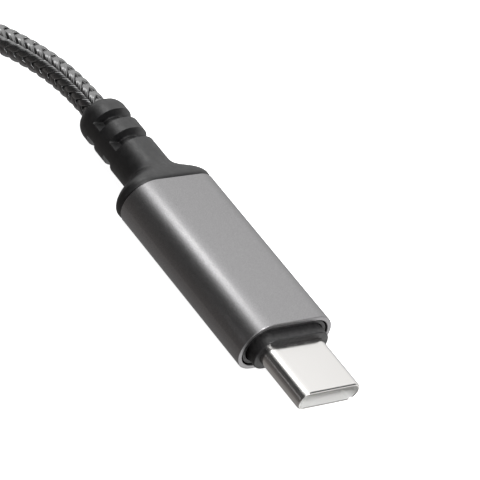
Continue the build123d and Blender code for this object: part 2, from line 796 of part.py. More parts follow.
pieces = {
    "plug_shell": plug_shell,
    "plug_insulator": plug_insulator,
    "plug_contacts_upper": plug_contacts_upper,
    "plug_contacts_lower": plug_contacts_lower,
    "plug_latch_plate": plug_latch_plate,
    "plug_ground_springs": plug_ground_springs,
    "plug_card": plug_card,
    "plug_chip": plug_chip,
    "plug_small_parts": plug_small_parts,
    "plug_cable_tail": plug_cable_tail,
    "plug_wires": plug_wires,
    "plug_crimp": plug_crimp,
    "plug_shield_upper": plug_shield_upper,
    "plug_shield_lower": plug_shield_lower,
    "plug_inner_mould": plug_inner_mould,
    "plug_sleeve": plug_sleeve,
    "plug_strain_relief": plug_strain_relief,
    "cable": cable,
    "meter_sleeve": meter_sleeve,
    "socket_end_cap": socket_end_cap,
    "cable_end_cap": cable_end_cap,
    "case_screws": case_screws,
    "display_lens": display_lens,
    "lens_tape": lens_tape,
    "display_gasket": display_gasket,
    "display_panel": display_panel,
    "display_carrier": display_carrier,
    "display_flex": display_flex,
    "main_board": main_board,
    "controller_chip": controller_chip,
    "current_shunt": current_shunt,
    "supply_inductor": supply_inductor,
    "board_small_parts": board_small_parts,
    "socket_shell": socket_shell,
    "socket_tongue": socket_tongue,
    "socket_contacts_upper": socket_contacts_upper,
    "socket_contacts_lower": socket_contacts_lower,
    "meter_cable_tail": meter_cable_tail,
    "meter_strain_relief": meter_strain_relief,
    "meter_crimp": meter_crimp,
    "meter_wires": meter_wires,
    "mode_button": mode_button,
    "switch_plunger": switch_plunger,
    "switch_body": switch_body,
    "switch_dome": switch_dome,
}

os.makedirs("parts", exist_ok=True)
for name, piece in pieces.items():
    piece.part.label = name
    export_step(piece.part, f"parts/{name}.step")
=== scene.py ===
import json
import math

import bpy
import numpy as np
from mathutils import Matrix, Quaternion, Vector


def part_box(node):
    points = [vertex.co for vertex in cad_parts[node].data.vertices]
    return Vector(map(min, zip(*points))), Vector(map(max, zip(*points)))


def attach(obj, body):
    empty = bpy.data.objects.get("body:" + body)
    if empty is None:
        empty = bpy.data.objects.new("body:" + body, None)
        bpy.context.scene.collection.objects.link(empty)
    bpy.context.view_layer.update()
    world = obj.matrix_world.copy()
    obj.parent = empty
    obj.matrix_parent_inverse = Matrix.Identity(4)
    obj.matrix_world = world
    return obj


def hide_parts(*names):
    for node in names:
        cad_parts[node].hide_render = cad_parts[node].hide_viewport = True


# A USB-C power meter: a metal pod with a display, on a short braided lead with a USB-C plug.
# Shapes are worked out in millimetres in the frame of the plug or of the pod, then placed in
# the row frame, in metres. Depths run back from the plug's mouth along its axis.

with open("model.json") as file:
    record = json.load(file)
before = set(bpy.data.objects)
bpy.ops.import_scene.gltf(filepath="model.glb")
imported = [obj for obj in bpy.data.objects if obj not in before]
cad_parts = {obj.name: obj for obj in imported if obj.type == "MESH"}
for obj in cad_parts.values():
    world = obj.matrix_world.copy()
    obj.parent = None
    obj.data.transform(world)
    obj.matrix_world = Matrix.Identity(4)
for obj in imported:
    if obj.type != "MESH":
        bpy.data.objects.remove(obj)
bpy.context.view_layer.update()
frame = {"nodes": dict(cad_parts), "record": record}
nodes = frame["nodes"]
MM = 0.001

# ---------------------------------------------------------------- frames

mounts = {mount["name"]: mount for mount in frame["record"]["mounts"]}
UP = Vector((0, 0, 1))
plug_mouth = Vector(mounts["usb_c_plug"]["pos_m"])
plug_forward = Vector(mounts["usb_c_plug"]["axis"]).normalized()
plug_left = UP.cross(plug_forward)
# Plug frame: x is depth behind the mouth, y is to the plug's left, z is up, in millimetres.
PLUG = Matrix((-plug_forward, plug_left, UP)).transposed().to_4x4()
PLUG = Matrix.Translation(plug_mouth) @ PLUG @ Matrix.Scale(MM, 4)
pod_low, pod_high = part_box("meter_sleeve")
pod_middle = (pod_low + pod_high) / 2
# Pod frame: x along the pod, z up from half height, in millimetres.
POD = Matrix.Translation(pod_middle) @ Matrix.Scale(MM, 4)


def span(node, place):
    """Lowest and highest corner of a CAD node in the plug's or the pod's frame."""
    back = np.array(place.inverted())
    points = np.array([vertex.co for vertex in nodes[node].data.vertices])
    local = points @ back[:3, :3].T + back[:3, 3]
    return local.min(0), local.max(0)


# ---------------------------------------------------------------- camera

CAMERA_TARGET = PLUG @ Vector((20.52, 2.24, 2.12))
CAMERA_DISTANCE = 0.3406
CAMERA_TURN = math.radians(-53.08)      # from the plug's heading
CAMERA_HEIGHT = math.radians(33.74)
CAMERA_ROLL = math.radians(27.87)
CAMERA_LENS = 250.5


def make_camera():
    """A long lens that looks down along the plug from its mouth end."""
    heading = math.atan2(plug_forward.y, plug_forward.x) + CAMERA_TURN
    level = math.cos(CAMERA_HEIGHT)
    back = Vector((math.cos(heading) * level, math.sin(heading) * level, math.sin(CAMERA_HEIGHT)))
    data = bpy.data.cameras.new("camera")
    data.lens = CAMERA_LENS
    data.sensor_width = 36
    data.clip_start = 0.01
    camera = bpy.data.objects.new("camera", data)
    bpy.context.scene.collection.objects.link(camera)
    camera.location = CAMERA_TARGET + back * CAMERA_DISTANCE
    camera.rotation_mode = "QUATERNION"
    upright = (-back).to_track_quat("-Z", "Y")
    camera.rotation_quaternion = upright @ Quaternion((0, 0, 1), CAMERA_ROLL)
    bpy.context.scene.camera = camera


make_camera()

# ---------------------------------------------------------------- mesh tools


def make_object(name, points, faces, material, place=None, sharp=35.0):
    """A mesh object in the row frame, smooth except across edges sharper than sharp degrees."""
    points = np.asarray(points, float)
    if place is not None:
        matrix = np.array(place)
        points = points @ matrix[:3, :3].T + matrix[:3, 3]
    mesh = bpy.data.meshes.new(name)
    mesh.from_pydata(points.tolist(), [], faces)
    mesh.validate()
    mesh.update()
    mesh.shade_smooth()
    mesh.set_sharp_from_angle(angle=math.radians(sharp))
    mesh.materials.append(material)
    piece = bpy.data.objects.new(name, mesh)
    bpy.context.scene.collection.objects.link(piece)
    return piece


def outline(width, height, radius, corner_steps=12):
    """Points (y, z) round a rounded rectangle, anticlockwise."""
    radius = min(radius, width / 2, height / 2)
    points = []
    for corner in range(4):
        side_y = 1 if corner in (0, 3) else -1
        side_z = 1 if corner in (0, 1) else -1
        for step in range(corner_steps + 1):
            angle = math.pi / 2 * (corner + step / corner_steps)
            y = side_y * (width / 2 - radius) + radius * math.cos(angle)
            z = side_z * (height / 2 - radius) + radius * math.sin(angle)
            points.append((y, z))
    return np.array(points)


def ring(x, width, height, radius, inset=0.0):
    """An outline at station x, drawn in by inset all round."""
    flat = outline(width - 2 * inset, height - 2 * inset, max(radius - inset, 0.01))
    return np.column_stack([np.full(len(flat), x), flat])


def bridge(rings, closed=False):
    """Points and quads through a list of equal rings; open ends are capped."""
    count = len(rings[0])
    faces = []
    pairs = len(rings) if closed else len(rings) - 1
    for number in range(pairs):
        first = number * count
        second = ((number + 1) % len(rings)) * count
        for point in range(count):
            after = (point + 1) % count
            faces.append((first + point, first + after, second + after, second + point))
    if not closed:
        faces.append(tuple(range(count))[::-1])
        faces.append(tuple((len(rings) - 1) * count + point for point in range(count)))
    return np.vstack(rings), faces


def rounded_edge(x, width, height, radius, edge, direction, steps=5):
    """Rings round a convex edge that ends at x; direction is +1 if x ends the piece."""
    rings = []
    for step in range(steps + 1):
        angle = math.pi / 2 * step / steps
        inset = edge * (1 - math.cos(angle))
        back = edge * (1 - math.sin(angle))
        rings.append(ring(x - direction * back, width, height, radius, inset))
    return rings


# ---------------------------------------------------------------- materials


def shader(name, color, roughness, metallic=0.0, **sockets):
    """A material with one Principled shader; sockets are named with underscores."""
    material = bpy.data.materials.new(name)
    material.use_nodes = True
    principled = material.node_tree.nodes["Principled BSDF"]
    principled.inputs["Base Color"].default_value = (*color, 1)
    principled.inputs["Roughness"].default_value = roughness
    principled.inputs["Metallic"].default_value = metallic
    for socket, value in sockets.items():
        principled.inputs[socket.replace("_", " ")].default_value = value
    return material


def node(material, kind, **settings):
    """A new node with its properties set."""
    made = material.node_tree.nodes.new(kind)
    for name, value in settings.items():
        setattr(made, name, value)
    return made


def wire(material, source, target):
    material.node_tree.links.new(source, target)


def principled_of(material):
    return material.node_tree.nodes["Principled BSDF"]


def noise(material, size_mm, detail=2.0, roughness=0.5, stretch=(1, 1, 1)):
    """A noise texture whose grain is about size_mm, in the row frame."""
    place = node(material, "ShaderNodeTexCoord")
    mapping = node(material, "ShaderNodeMapping")
    mapping.inputs["Scale"].default_value = stretch
    texture = node(material, "ShaderNodeTexNoise")
    texture.inputs["Scale"].default_value = 1 / (size_mm * MM)
    texture.inputs["Detail"].default_value = detail
    texture.inputs["Roughness"].default_value = roughness
    wire(material, place.outputs["Object"], mapping.inputs["Vector"])
    wire(material, mapping.outputs["Vector"], texture.inputs["Vector"])
    return texture


# Most of a noise texture's values lie between these.
NOISE_LOW = 0.3
NOISE_HIGH = 0.7


def tint(material, texture, low, high):
    """Base colour that runs from low to high with the texture."""
    ramp = node(material, "ShaderNodeValToRGB")
    ramp.color_ramp.elements[0].position = NOISE_LOW
    ramp.color_ramp.elements[0].color = (*low, 1)
    ramp.color_ramp.elements[1].position = NOISE_HIGH
    ramp.color_ramp.elements[1].color = (*high, 1)
    wire(material, texture.outputs["Fac"], ramp.inputs["Fac"])
    wire(material, ramp.outputs["Color"], principled_of(material).inputs["Base Color"])


def vary_roughness(material, texture, low, high):
    """Roughness that runs from low to high with the texture."""
    spread = node(material, "ShaderNodeMapRange")
    spread.inputs["From Min"].default_value = NOISE_LOW
    spread.inputs["From Max"].default_value = NOISE_HIGH
    spread.inputs["To Min"].default_value = low
    spread.inputs["To Max"].default_value = high
    wire(material, texture.outputs["Fac"], spread.inputs["Value"])
    wire(material, spread.outputs["Result"], principled_of(material).inputs["Roughness"])


def bump(material, texture, height_mm, strength=1.0):
    """Surface relief from the texture."""
    relief = node(material, "ShaderNodeBump")
    relief.inputs["Strength"].default_value = strength
    relief.inputs["Distance"].default_value = height_mm * MM
    wire(material, texture.outputs["Fac"], relief.inputs["Height"])
    wire(material, relief.outputs["Normal"], principled_of(material).inputs["Normal"])


def anodised():
    """Bead-blasted, space-grey anodised aluminium."""
    made = shader("anodised_aluminium", (0.36, 0.355, 0.36), 0.36, 1.0)
    grain = noise(made, 0.09, 2.0, 0.6)
    tint(made, grain, (0.31, 0.305, 0.31), (0.43, 0.425, 0.43))
    vary_roughness(made, noise(made, 0.16, 2.0), 0.32, 0.42)
    bump(made, noise(made, 0.07, 1.0), 0.006, 0.6)
    return made


def plated():
    """Bright nickel plate with faint handling marks."""
    made = shader("bright_plate", (0.87, 0.855, 0.835), 0.2, 1.0)
    vary_roughness(made, noise(made, 0.9, 3.0), 0.16, 0.24)
    bump(made, noise(made, 0.35, 2.0), 0.0008, 0.5)
    return made


def plate_inside():
    """The shell's inner face: the same plate, duller and finely drawn, and made pale and partly
    diffuse as painted light for the light shining in at the mouth.
    """
    # Painted light: the near-white base colour on a mostly non-metal surface stands in for light
    # shining into the mouth; the higher roughness is the real duller finish.
    made = shader("satin_plate_painted_light", (0.9, 0.9, 0.89), 0.5, 0.3)
    vary_roughness(made, noise(made, 0.4, 2.0), 0.45, 0.55)
    bump(made, noise(made, 0.2, 2.0, stretch=(1, 0.2, 1)), 0.002, 0.4)
    return made


def nose_plastic():
    """Satin black moulding round the shell."""
    made = shader("nose_plastic", (0.035, 0.034, 0.035), 0.40)
    tint(made, noise(made, 0.35, 3.0), (0.014, 0.014, 0.0145), (0.034, 0.033, 0.034))
    vary_roughness(made, noise(made, 0.3, 2.0), 0.32, 0.48)
    bump(made, noise(made, 0.16, 2.0), 0.01, 0.7)
    return made


def relief_rubber():
    """Matte black elastomer with a fine moulded texture."""
    made = shader("relief_rubber", (0.014, 0.014, 0.0145), 0.44, Specular_IOR_Level=0.85, IOR=1.52)
    tint(made, noise(made, 0.9, 4.0, 0.7), (0.007, 0.007, 0.0075), (0.018, 0.018, 0.0185))
    vary_roughness(made, noise(made, 0.5, 3.0), 0.38, 0.5)
    bump(made, noise(made, 0.22, 3.0, 0.6), 0.012, 0.6)
    return made


FILAMENT_SCALE = 42.0       # streaks round a carrier of the braid


def braid_nylon():
    """Glossy dark nylon yarn; fine filaments run along it."""
    made = shader("braid_nylon", (0.02, 0.02, 0.021), 0.26, Specular_IOR_Level=1.0, IOR=1.6,
                  Coat_Weight=1.0, Coat_Roughness=0.25, Coat_IOR=2.2)
    made_uv = node(made, "ShaderNodeUVMap", uv_map="yarn")
    mapping = node(made, "ShaderNodeMapping")
    mapping.inputs["Scale"].default_value = (1.0, FILAMENT_SCALE, 1.0)
    filaments = node(made, "ShaderNodeTexNoise")
    filaments.inputs["Scale"].default_value = 1.0
    filaments.inputs["Detail"].default_value = 2.0
    wire(made, made_uv.outputs["UV"], mapping.inputs["Vector"])
    wire(made, mapping.outputs["Vector"], filaments.inputs["Vector"])
    tint(made, filaments, (0.006, 0.0062, 0.0065), (0.018, 0.0185, 0.019))
    bump(made, filaments, 0.005, 0.5)
    return made


def plain_black(name, shade, roughness, grain_mm=0.15, height_mm=0.004):
    """Moulded black plastic with a light spark texture."""
    made = shader(name, (shade, shade, shade * 1.03), roughness)
    vary_roughness(made, noise(made, 0.4, 2.0), roughness - 0.05, roughness + 0.05)
    bump(made, noise(made, grain_mm, 2.0), height_mm, 0.6)
    return made


ANODISED = anodised()
PLATED = plated()
PLATE_INSIDE_PAINTED_LIGHT = plate_inside()
NOSE = nose_plastic()
RELIEF = relief_rubber()
BRAID = braid_nylon()
CORE = plain_black("lead_core", 0.012, 0.6)
CAP = plain_black("cap_plastic", 0.03, 0.42)
BUTTON = plain_black("button_plastic", 0.045, 0.35, 0.1, 0.002)

# ---------------------------------------------------------------- lead

# The same points as the lead's route in the part, from the pod to the plug, in metres.
LEAD_ROUTE = [
    (-0.0412, 0.0, 0.0055),
    (-0.0467, 0.0, 0.0055),
    (-0.0546, 0.0020, 0.0040),
    (-0.0628, 0.0068, 0.0022),
    (-0.0694, 0.0150, 0.0016),
    (-0.0731, 0.0256, 0.00155),
    (-0.0727, 0.0367, 0.00155),
    (-0.0687, 0.0460, 0.0019),
    (-0.0642, 0.0510, 0.00265),
    (-0.05917, 0.0540, 0.00305),
    (-0.05597, 0.05516, 0.00305),
]
LEAD_DIAMETER = 3.05
LEAD_OVERLAP = 1.2          # braid that reaches inside each strain relief
CARRIERS = 8                # in each direction
YARNS = 3                   # side by side in each carrier
BRAID_LEAD = 9.7            # length in which a carrier goes once round
CARRIER_WIDTH = 0.84        # across the carrier
CARRIER_THICKNESS = 0.25
CARRIER_LIFT = 0.165        # how far a carrier rises and dips as it crosses the others
YARN_GROOVE = 0.02
CARRIER_UNDER = 0.5         # of its width, on the underside
CARRIER_DEPTH = 0.4         # of its thickness, below its middle
BRAID_STEP = 0.13
CORE_STEP = 0.8
PATH_STEP = 1.0
YARN_SHIFT = 3.7            # sets each carrier's filaments apart from the next one's
COLUMNS = 4                 # round the lead, for each family
COLUMN_ANGLE = math.radians(112)    # middle of a column where the first family is on top
COLUMN_SOFTNESS = 0.5


def route_line(points):
    """Evenly spaced points, in millimetres, on the NURBS line through the route."""
    curve = bpy.data.curves.new("route", "CURVE")
    curve.dimensions = "3D"
    curve.resolution_u = 60
    spline = curve.splines.new("NURBS")
    spline.points.add(len(points) - 1)
    for point, place in zip(spline.points, points):
        point.co = (*place, 1)
    spline.order_u = 3
    spline.use_endpoint_u = True
    holder = bpy.data.objects.new("route", curve)
    bpy.context.scene.collection.objects.link(holder)
    mesh = bpy.data.meshes.new_from_object(holder)
    line = np.array([vertex.co for vertex in mesh.vertices]) / MM
    bpy.data.objects.remove(holder)
    return line


def resample(line, step):
    """Distances along a polyline, about step apart, and the points there."""
    reach = np.concatenate([[0], np.cumsum(np.linalg.norm(np.diff(line, axis=0), axis=1))])
    count = int(round(reach[-1] / step)) + 1
    places = np.linspace(0, reach[-1], count)
    return places, np.column_stack([np.interp(places, reach, line[:, axis]) for axis in range(3)])


def extend(line, reach):
    """The line with a straight stretch added at each end."""
    start = line[0] + (line[0] - line[1]) / np.linalg.norm(line[0] - line[1]) * reach
    end = line[-1] + (line[-1] - line[-2]) / np.linalg.norm(line[-1] - line[-2]) * reach
    return np.vstack([start, line, end])


def side_and_up(line):
    """Two directions across the line at each of its points: level, and upward."""
    along = np.gradient(line, axis=0)
    along /= np.linalg.norm(along, axis=1)[:, None]
    side = np.cross((0, 0, 1), along)
    side /= np.linalg.norm(side, axis=1)[:, None]
    return side, np.cross(along, side)


def tube(line, radius, sides=24):
    """Points and faces of a round tube along a line, capped at its ends."""
    side, up = side_and_up(line)
    rings = []
    for number in range(len(line)):
        angles = 2 * math.pi * np.arange(sides) / sides
        spokes = np.outer(np.cos(angles), side[number]) + np.outer(np.sin(angles), up[number])
        rings.append(line[number] + radius * spokes)
    return bridge(rings)


def carrier_profile():
    """Section of a carrier, across and outward: a low arch with a groove between its yarns."""
    half = CARRIER_WIDTH / 2
    steps = 5 * YARNS
    top = []
    for step in range(steps + 1):
        share = 1 - 2 * step / steps
        arch = 1 - share**4
        groove = YARN_GROOVE * (1 - abs(math.sin(math.pi * YARNS * step / steps))) ** 2
        inside = 1 if 0 < step < steps else 0
        top.append((half * share, CARRIER_THICKNESS * arch / 2 - groove * inside))
    under, depth = half * CARRIER_UNDER, -CARRIER_THICKNESS * CARRIER_DEPTH
    return top + [(-under, depth), (under, depth)]


def make_lead():
    """A dark core under a two-over-two braid, both along the route's line."""
    line = route_line(LEAD_ROUTE)
    path = resample(line, PATH_STEP)[1]
    places, fine = resample(extend(line, LEAD_OVERLAP), BRAID_STEP)
    side, up = side_and_up(fine)
    radius = LEAD_DIAMETER / 2
    middle = radius - CARRIER_THICKNESS / 2 - CARRIER_LIFT
    profile = carrier_profile()
    count = len(profile)
    points = []
    faces = []
    for family in (1, -1):
        for carrier in range(CARRIERS):
            turn = 2 * math.pi * (carrier + 0.5) / CARRIERS
            angle = turn + COLUMN_ANGLE + family * 2 * math.pi * places / BRAID_LEAD
            weave = np.tanh(COLUMN_SOFTNESS * np.cos(COLUMNS * (angle - COLUMN_ANGLE)))
            weave *= family / math.tanh(COLUMN_SOFTNESS)
            distance = middle + CARRIER_LIFT * weave
            out = np.cos(angle)[:, None] * side + np.sin(angle)[:, None] * up
            centre = fine + distance[:, None] * out
            run = np.gradient(centre, axis=0)
            run /= np.linalg.norm(run, axis=1)[:, None]
            across = np.cross(run, out)
            across /= np.linalg.norm(across, axis=1)[:, None]
            out = np.cross(across, run)
            # The carrier wraps round the lead, so its edges lie lower than its middle.
            rings = np.stack([
                centre + wide * across + (tall - wide**2 / (4 * radius)) * out
                for wide, tall in profile
            ], axis=1)
            base = len(points) * count
            for number in range(len(fine) - 1):
                low = base + number * count
                for corner in range(count):
                    after = (corner + 1) % count
                    faces.append((low + corner, low + count + corner,
                                  low + count + after, low + after))
            last = base + (len(fine) - 1) * count
            faces.append(tuple(base + corner for corner in range(count)))
            faces.append(tuple(last + corner for corner in range(count))[::-1])
            points.extend(rings)
    braid = make_object("lead_braid", np.vstack(points) * MM, faces, BRAID, sharp=180)
    layer = braid.data.uv_layers.new(name="yarn")
    vertices = np.zeros(len(braid.data.loops), int)
    braid.data.loops.foreach_get("vertex_index", vertices)
    strand, corner = np.divmod(vertices, count)
    along = (strand % len(fine)) * BRAID_STEP
    across = corner / count + YARN_SHIFT * (strand // len(fine))
    layer.data.foreach_set("uv", np.column_stack([along, across]).ravel())
    core_line = resample(extend(line, LEAD_OVERLAP), CORE_STEP)[1]
    core_points, core_faces = tube(core_line, middle - CARRIER_LIFT)
    core = make_object("lead_core", core_points * MM, core_faces, CORE, sharp=60)
    return braid, core, path * MM


braid, core, lead_path = make_lead()
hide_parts("cable")
for piece in (braid, core):
    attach(piece, "meter")

# ---------------------------------------------------------------- plug

SHELL_WIDTH = 8.25
SHELL_HEIGHT = 2.4
SHELL_WALL = 0.28
SHELL_LIP = 0.18
SHELL_LIP_LENGTH = 0.34
SHELL_INNER_LIP = 0.10
SHELL_END = 10.4
PLUG_WIDTH = 12.0
PLUG_HEIGHT = 6.1
SLEEVE_WALL = 0.5
SLEEVE_FRONT = 7.84
SLEEVE_BACK = 29.69
SLEEVE_EDGE = 0.09
NOSE_WIDTH = 9.7
NOSE_HEIGHT = 4.0
NOSE_FACE = 6.69
NOSE_END = 12.0
NOSE_EDGE = 0.12
NOSE_GAP = 0.12             # between the sleeve and the ring of the moulding inside it
NOSE_SETBACK = 0.12         # of the ring behind the sleeve's front
NOSE_LIP_EDGE = 0.1
NOSE_LIP_WALL = 0.38
NOSE_LIP_DRAFT = 0.03
NOSE_RECESS = 0.55          # depth of the groove between the ring and the nose
NOSE_SHELL_GAP = 0.02
NECK_WIDTH = 5.4
NECK_HEIGHT = 5.2
NECK_RADIUS = 2.5
FLANGE_LENGTH = 0.55        # straight band behind the sleeve
FLARE_LENGTH = 2.15         # rounded shoulder from the band to the neck
FLARE_BLEND = 0.30
FLANGE_INSET = 0.3          # how far the band draws in to meet the sleeve
RELIEF_BACK = 43.39
RELIEF_EDGE = 1.15          # how far the cable end is rounded in
RELIEF_EDGE_LENGTH = 1.55
SLOT_FROM_END = (3.1, 6.2)
SLOT_LENGTH = 1.0
SLOT_EDGE = 0.18
BRIDGE_HALF = 0.85
CORE_RADIUS = 1.6
RELIEF_GRIP = 0.1           # how far the relief's bore closes on the braid
RELIEF_STEP = 0.06
POD_END = -29.0             # the pod's cable end, in the pod frame


def make_shell():
    """Folded stadium shell with a rounded front edge."""
    radius = SHELL_HEIGHT / 2
    inner_width = SHELL_WIDTH - 2 * SHELL_WALL
    inner_height = SHELL_HEIGHT - 2 * SHELL_WALL
    rings = [ring(SHELL_END, SHELL_WIDTH, SHELL_HEIGHT, radius)]
    for step in range(11):
        angle = math.pi / 2 * (1 - step / 10)
        depth = SHELL_LIP_LENGTH * (1 - math.cos(angle))
        inset = SHELL_LIP * (1 - math.sin(angle))
        rings.append(ring(depth, SHELL_WIDTH, SHELL_HEIGHT, radius, inset))
    for step in range(6):
        angle = math.pi / 2 * step / 5
        grow = SHELL_INNER_LIP * (1 - math.sin(angle))
        depth = SHELL_INNER_LIP * (1 - math.cos(angle))
        rings.append(ring(depth, inner_width, inner_height, inner_height / 2, -grow))
    inside = len(rings)
    rings.append(ring(SHELL_END, inner_width, inner_height, inner_height / 2))
    points, faces = bridge(rings, closed=True)
    shell = make_object("shell", points, faces, PLATED, PLUG, 40)
    # The shell's inner faces get the plate with painted light for the light inside its mouth.
    shell.data.materials.append(PLATE_INSIDE_PAINTED_LIGHT)
    around = len(rings[0])
    for polygon in shell.data.polygons[(inside - 2) * around:inside * around]:
        polygon.material_index = 1
    return shell


def make_sleeve():
    """Extruded metal sleeve with turned edges."""
    radius = PLUG_HEIGHT / 2
    inner_width = PLUG_WIDTH - 2 * SLEEVE_WALL
    inner_height = PLUG_HEIGHT - 2 * SLEEVE_WALL
    rings = rounded_edge(SLEEVE_FRONT, PLUG_WIDTH, PLUG_HEIGHT, radius, SLEEVE_EDGE, -1, 4)[::-1]
    rings += rounded_edge(SLEEVE_BACK, PLUG_WIDTH, PLUG_HEIGHT, radius, SLEEVE_EDGE, 1, 4)
    rings.append(ring(SLEEVE_BACK, inner_width, inner_height, inner_height / 2))
    rings.append(ring(SLEEVE_FRONT + 0.05, inner_width, inner_height, inner_height / 2))
    rings.append(ring(SLEEVE_FRONT, inner_width, inner_height, inner_height / 2, -0.05))
    points, faces = bridge(rings, closed=True)
    return make_object("sleeve", points, faces, ANODISED, PLUG, 30)


def make_nose():
    """Stepped moulding that fills the sleeve's front and carries the shell."""
    ring_width = PLUG_WIDTH - 2 * SLEEVE_WALL - 2 * NOSE_GAP
    ring_height = PLUG_HEIGHT - 2 * SLEEVE_WALL - 2 * NOSE_GAP
    ring_radius = ring_height / 2
    lip_front = SLEEVE_FRONT + NOSE_SETBACK
    lip_back = lip_front + NOSE_RECESS
    groove = NOSE_LIP_WALL + NOSE_LIP_DRAFT
    rings = [ring(NOSE_END, ring_width, ring_height, ring_radius)]
    rings += rounded_edge(lip_front, ring_width, ring_height, ring_radius, NOSE_LIP_EDGE, -1, 3)
    rings.append(ring(lip_front + NOSE_LIP_DRAFT, ring_width, ring_height, ring_radius,
                      NOSE_LIP_WALL))
    rings.append(ring(lip_back, ring_width, ring_height, ring_radius, groove))
    rings.append(ring(lip_back, NOSE_WIDTH, NOSE_HEIGHT, NOSE_HEIGHT / 2, 0.0))
    rings += rounded_edge(NOSE_FACE, NOSE_WIDTH, NOSE_HEIGHT, NOSE_HEIGHT / 2, NOSE_EDGE, -1, 4)
    for x in (NOSE_FACE, NOSE_END):
        rings.append(ring(x, SHELL_WIDTH, SHELL_HEIGHT, SHELL_HEIGHT / 2, -NOSE_SHELL_GAP))
    points, faces = bridge(rings, closed=True)
    return make_object("nose", points, faces, NOSE, PLUG, 30)


def polar_section(width, height, radius, angles):
    """Distance to a rounded rectangle's outline at each angle from its middle."""
    cosine, sine = np.abs(np.cos(angles)), np.abs(np.sin(angles))
    half_y, half_z = width / 2, height / 2
    centre_y, centre_z = half_y - radius, half_z - radius
    along = centre_y * cosine + centre_z * sine
    off = centre_y**2 + centre_z**2 - radius**2
    reach = along + np.sqrt(np.maximum(along**2 - off, 0))
    side = half_y / np.maximum(cosine, 1e-9)
    top = half_z / np.maximum(sine, 1e-9)
    reach = np.where(side * sine <= centre_z, side, reach)
    return np.where(top * cosine <= centre_y, top, reach)


def make_relief(name, start, end, flared, place):
    """Strain relief from start to end, with flexing slots near its rounded cable end.

    A flared one starts at the plug's full section and rounds in to the neck."""
    angles = np.linspace(-math.pi, math.pi, 193)[:-1] + 0.01
    neck = polar_section(NECK_WIDTH, NECK_HEIGHT, NECK_RADIUS, angles)
    wide = polar_section(PLUG_WIDTH, PLUG_HEIGHT, PLUG_HEIGHT / 2, angles)
    sine = np.maximum(np.abs(np.sin(angles)), 1e-6)
    slotted = np.minimum(neck, np.maximum(BRIDGE_HALF / sine, CORE_RADIUS))
    length = abs(end - start)
    direction = 1 if end > start else -1
    straight = length - RELIEF_EDGE_LENGTH
    round_end = length - RELIEF_EDGE_LENGTH * np.cos(np.linspace(0, math.pi / 2, 12))
    rings = []
    for station in np.concatenate([np.arange(0, straight, RELIEF_STEP), round_end]):
        reach = neck.copy()
        if flared:
            past = max(station - FLANGE_LENGTH, 0) / FLARE_LENGTH
            bulge = FLARE_BLEND * math.log1p(math.exp((1 - past**2) / FLARE_BLEND))
            reach += (wide - neck) * min(bulge, 1)
            reach -= FLANGE_INSET * max(1 - station / FLANGE_LENGTH, 0) ** 2
        for slot in SLOT_FROM_END:
            inside = SLOT_LENGTH / 2 - abs(station - (length - slot))
            depth = min(max(inside / SLOT_EDGE + 1, 0), 1)
            depth = math.sqrt(1 - (1 - depth) ** 2)
            reach += (slotted - neck) * depth
        over = max(station - straight, 0) / RELIEF_EDGE_LENGTH
        reach -= RELIEF_EDGE * (1 - math.sqrt(max(1 - over**2, 0)))
        x = start + direction * station
        rings.append(np.column_stack([np.full(len(angles), x), reach * np.cos(angles),
                                      reach * np.sin(angles)]))
    hole = LEAD_DIAMETER / 2 - RELIEF_GRIP
    for x in (end, start):
        rings.append(np.column_stack([np.full(len(angles), x), hole * np.cos(angles),
                                      hole * np.sin(angles)]))
    if direction < 0:
        rings = rings[::-1]
    points, faces = bridge(rings, closed=True)
    return make_object(name, points, faces, RELIEF, place, 50)


shell = make_shell()
sleeve = make_sleeve()
nose = make_nose()
relief = make_relief("plug_relief", SLEEVE_BACK, RELIEF_BACK, True, PLUG)
for piece, cad_node, slot in (
    (shell, "plug_shell", "plated"),
    (sleeve, "plug_sleeve", "anodised"),
    (nose, "plug_inner_mould", "nose"),
    (relief, "plug_strain_relief", "relief"),
):
    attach(piece, "meter")
    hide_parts(cad_node)

# ---------------------------------------------------------------- pod

pod_relief_end = span("meter_strain_relief", POD)[0][0]
pod_relief = make_relief("pod_relief", POD_END, pod_relief_end, False, POD)
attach(pod_relief, "meter")
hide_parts("meter_strain_relief")


def finish_cad(names, material, sharp=30.0):
    """Gives CAD nodes their material and smooth shading."""
    for name in names:
        mesh = nodes[name].data
        mesh.materials.clear()
        mesh.materials.append(material)
        mesh.shade_smooth()
        mesh.set_sharp_from_angle(angle=math.radians(sharp))


def metal(name, color, roughness, grain_mm, height_mm):
    """Plated or drawn metal: fine grain in its colour, its gloss and its surface."""
    made = shader(name, color, roughness, 1.0)
    grain = noise(made, grain_mm, 3.0)
    tint(made, grain, [part * 0.88 for part in color], [min(part * 1.1, 1) for part in color])
    vary_roughness(made, noise(made, grain_mm * 2, 2.0), roughness - 0.06, roughness + 0.08)
    bump(made, grain, height_mm, 0.5)
    return made


def moulded(name, color, roughness, grain_mm, height_mm):
    """Moulded or cast non-metal with a slight mottle and a fine surface texture."""
    made = shader(name, color, roughness)
    tint(made, noise(made, grain_mm * 4, 3.0), [part * 0.82 for part in color], color)
    vary_roughness(made, noise(made, grain_mm * 2, 2.0), roughness - 0.05, roughness + 0.05)
    bump(made, noise(made, grain_mm, 2.0), height_mm, 0.6)
    return made


def solder_mask():
    """Green lacquer over copper traces that show as slightly lighter lines."""
    made = shader("solder_mask", (0.012, 0.07, 0.035), 0.3)
    place = node(made, "ShaderNodeTexCoord")
    traces = node(made, "ShaderNodeTexBrick", offset=0.37)
    traces.inputs["Scale"].default_value = 260
    traces.inputs["Mortar Size"].default_value = 0.035
    traces.inputs["Color1"].default_value = (0.010, 0.060, 0.030, 1)
    traces.inputs["Color2"].default_value = (0.013, 0.075, 0.036, 1)
    traces.inputs["Mortar"].default_value = (0.03, 0.14, 0.06, 1)
    wire(made, place.outputs["Object"], traces.inputs["Vector"])
    wire(made, traces.outputs["Color"], principled_of(made).inputs["Base Color"])
    bump(made, noise(made, 0.5, 2.0), 0.004, 0.4)
    return made


